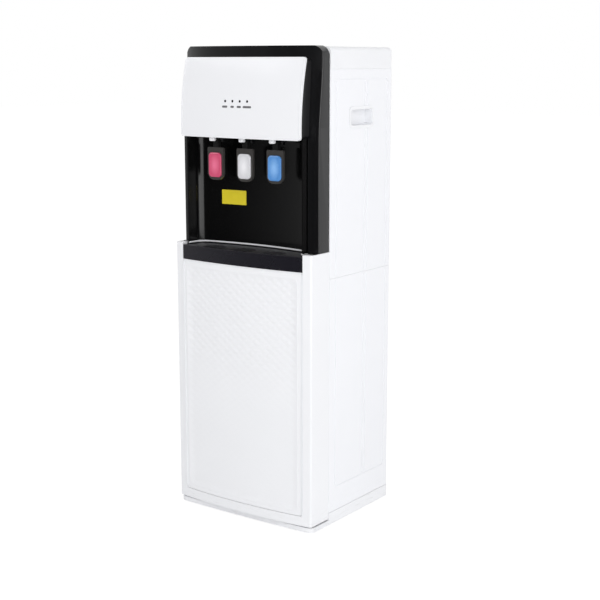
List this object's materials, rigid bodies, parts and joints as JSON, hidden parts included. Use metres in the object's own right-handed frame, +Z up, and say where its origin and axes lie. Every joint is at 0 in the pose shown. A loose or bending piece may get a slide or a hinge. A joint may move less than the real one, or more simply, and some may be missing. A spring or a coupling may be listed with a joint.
{
  "type": "water dispenser",
  "caption": "Upright bottom-loading water dispenser with lever taps for hot, room and cold water, a drip tray, a hinged quilted door and side hand grips.",
  "frame": {"origin": "on the floor, under the middle of the object's bounding box", "axes": "+Z up, the front with the taps and the door faces -Y, and +X is to the right seen from the front, on the side of the door's hinge"},
  "size_m": [0.374, 0.322, 1.04],
  "materials": {
    "white_shell": "fine satin, moulded",
    "white_side": "fine satin, moulded with pressed lines",
    "back_sheet": "matt coat",
    "gloss_white": "high gloss",
    "black_shell": "satin",
    "gloss_black": "high gloss",
    "dark_grille": "satin",
    "grey": "satin",
    "rubber": "matt",
    "clear_hose": "milky silicone",
    "steel": "brushed",
    "aluminium": "raw",
    "foam": "insulating foam shell",
    "insert_red": "gloss, translucent",
    "insert_white": "gloss, translucent",
    "insert_blue": "gloss, translucent",
    "rocker_red": "gloss",
    "rocker_blue": "gloss",
    "cap_blue": "satin",
    "lamp_dark": "dark lens, unlit"
  },
  "bodies": {
    "cabinet": {"back_lower": "back_sheet", "back_upper": "back_sheet", "base_pan": "white_shell", "bottle_shelf": "white_shell", "cold_tank": "foam", "cooler": "aluminium", "cooling_grille": "black_shell", "cord_gland": "black_shell", "drain_cap_cold": "rubber", "drain_cap_hot": "rubber", "foot_front_left": "rubber", "foot_front_right": "rubber", "foot_rear_left": "rubber", "foot_rear_right": "rubber", "front_frame": "white_shell", "grip_cup_left": "white_shell", "grip_cup_right": "white_shell", "hinge_pin_lower": "steel", "hinge_pin_upper": "steel", "hot_tank": "foam", "lamp_1": "lamp_dark", "lamp_2": "lamp_dark", "lamp_3": "lamp_dark", "lamp_4": "lamp_dark", "niche_wall": "gloss_black", "probe_cap": "cap_blue", "probe_holder": "white_shell", "pump": "grey", "push_catch": "grey", "side_lower_left": "white_side", "side_lower_right": "white_side", "side_upper_left": "white_side", "side_upper_right": "white_side", "suction_hose": "clear_hose", "suction_probe": "steel", "surround": "black_shell", "switch_plate": "black_shell", "tap_body_cold": "black_shell", "tap_body_hot": "black_shell", "tap_body_room": "black_shell", "tap_outlet_cold": "gloss_white", "tap_outlet_hot": "gloss_white", "tap_outlet_room": "gloss_white", "top_cover": "white_shell", "tray_deck": "white_shell", "visor": "gloss_white", "visor_box": "black_shell"},
    "door": {"door_rim": "white_shell", "door_panel": "white_shell", "door_liner": "white_shell"},
    "tray": {"drip_tray": "black_shell"},
    "grille": {"drip_grille": "dark_grille"},
    "rocker_hot": {"rocker_hot": "rocker_red"},
    "rocker_cold": {"rocker_cold": "rocker_blue"},
    "tap_lever_hot": {"lever_hot": "grey", "insert_hot": "insert_red"},
    "tap_lever_room": {"lever_room": "grey", "insert_room": "insert_white"},
    "tap_lever_cold": {"lever_cold": "grey", "insert_cold": "insert_blue"}
  },
  "joints": [
    {"name": "door_hinge", "type": "hinge", "parent": "cabinet", "child": "door", "pos_m": [0.1553, -0.14695, 0.3], "axis": [0, 0, 1], "range_deg": [0, 105]},
    {"name": "lever_hot_hinge", "type": "hinge", "parent": "cabinet", "child": "tap_lever_hot", "pos_m": [-0.081, -0.125, 0.8423], "axis": [1, 0, 0], "range_deg": [0, 12], "stiffness_Nm_per_rad": 0.6, "springref_deg": -11.46},
    {"name": "lever_room_hinge", "type": "hinge", "parent": "cabinet", "child": "tap_lever_room", "pos_m": [0, -0.125, 0.8423], "axis": [1, 0, 0], "range_deg": [0, 12], "stiffness_Nm_per_rad": 0.6, "springref_deg": -11.46},
    {"name": "lever_cold_hinge", "type": "hinge", "parent": "cabinet", "child": "tap_lever_cold", "pos_m": [0.081, -0.125, 0.8423], "axis": [1, 0, 0], "range_deg": [0, 12], "stiffness_Nm_per_rad": 0.6, "springref_deg": -11.46},
    {"name": "tray_slide", "type": "slide", "parent": "cabinet", "child": "tray", "axis": [0, -1, 0], "range_m": [0, 0.1]},
    {"name": "grille_lift", "type": "slide", "parent": "tray", "child": "grille", "axis": [0, 0, 1], "range_m": [0, 0.05]},
    {"name": "rocker_hot_hinge", "type": "hinge", "parent": "cabinet", "child": "rocker_hot", "pos_m": [0.0835, 0.1483, 0.743], "axis": [1, 0, 0], "range_deg": [-16, 0]},
    {"name": "rocker_cold_hinge", "type": "hinge", "parent": "cabinet", "child": "rocker_cold", "pos_m": [0.1065, 0.1483, 0.743], "axis": [1, 0, 0], "range_deg": [-16, 0]}
  ]
}
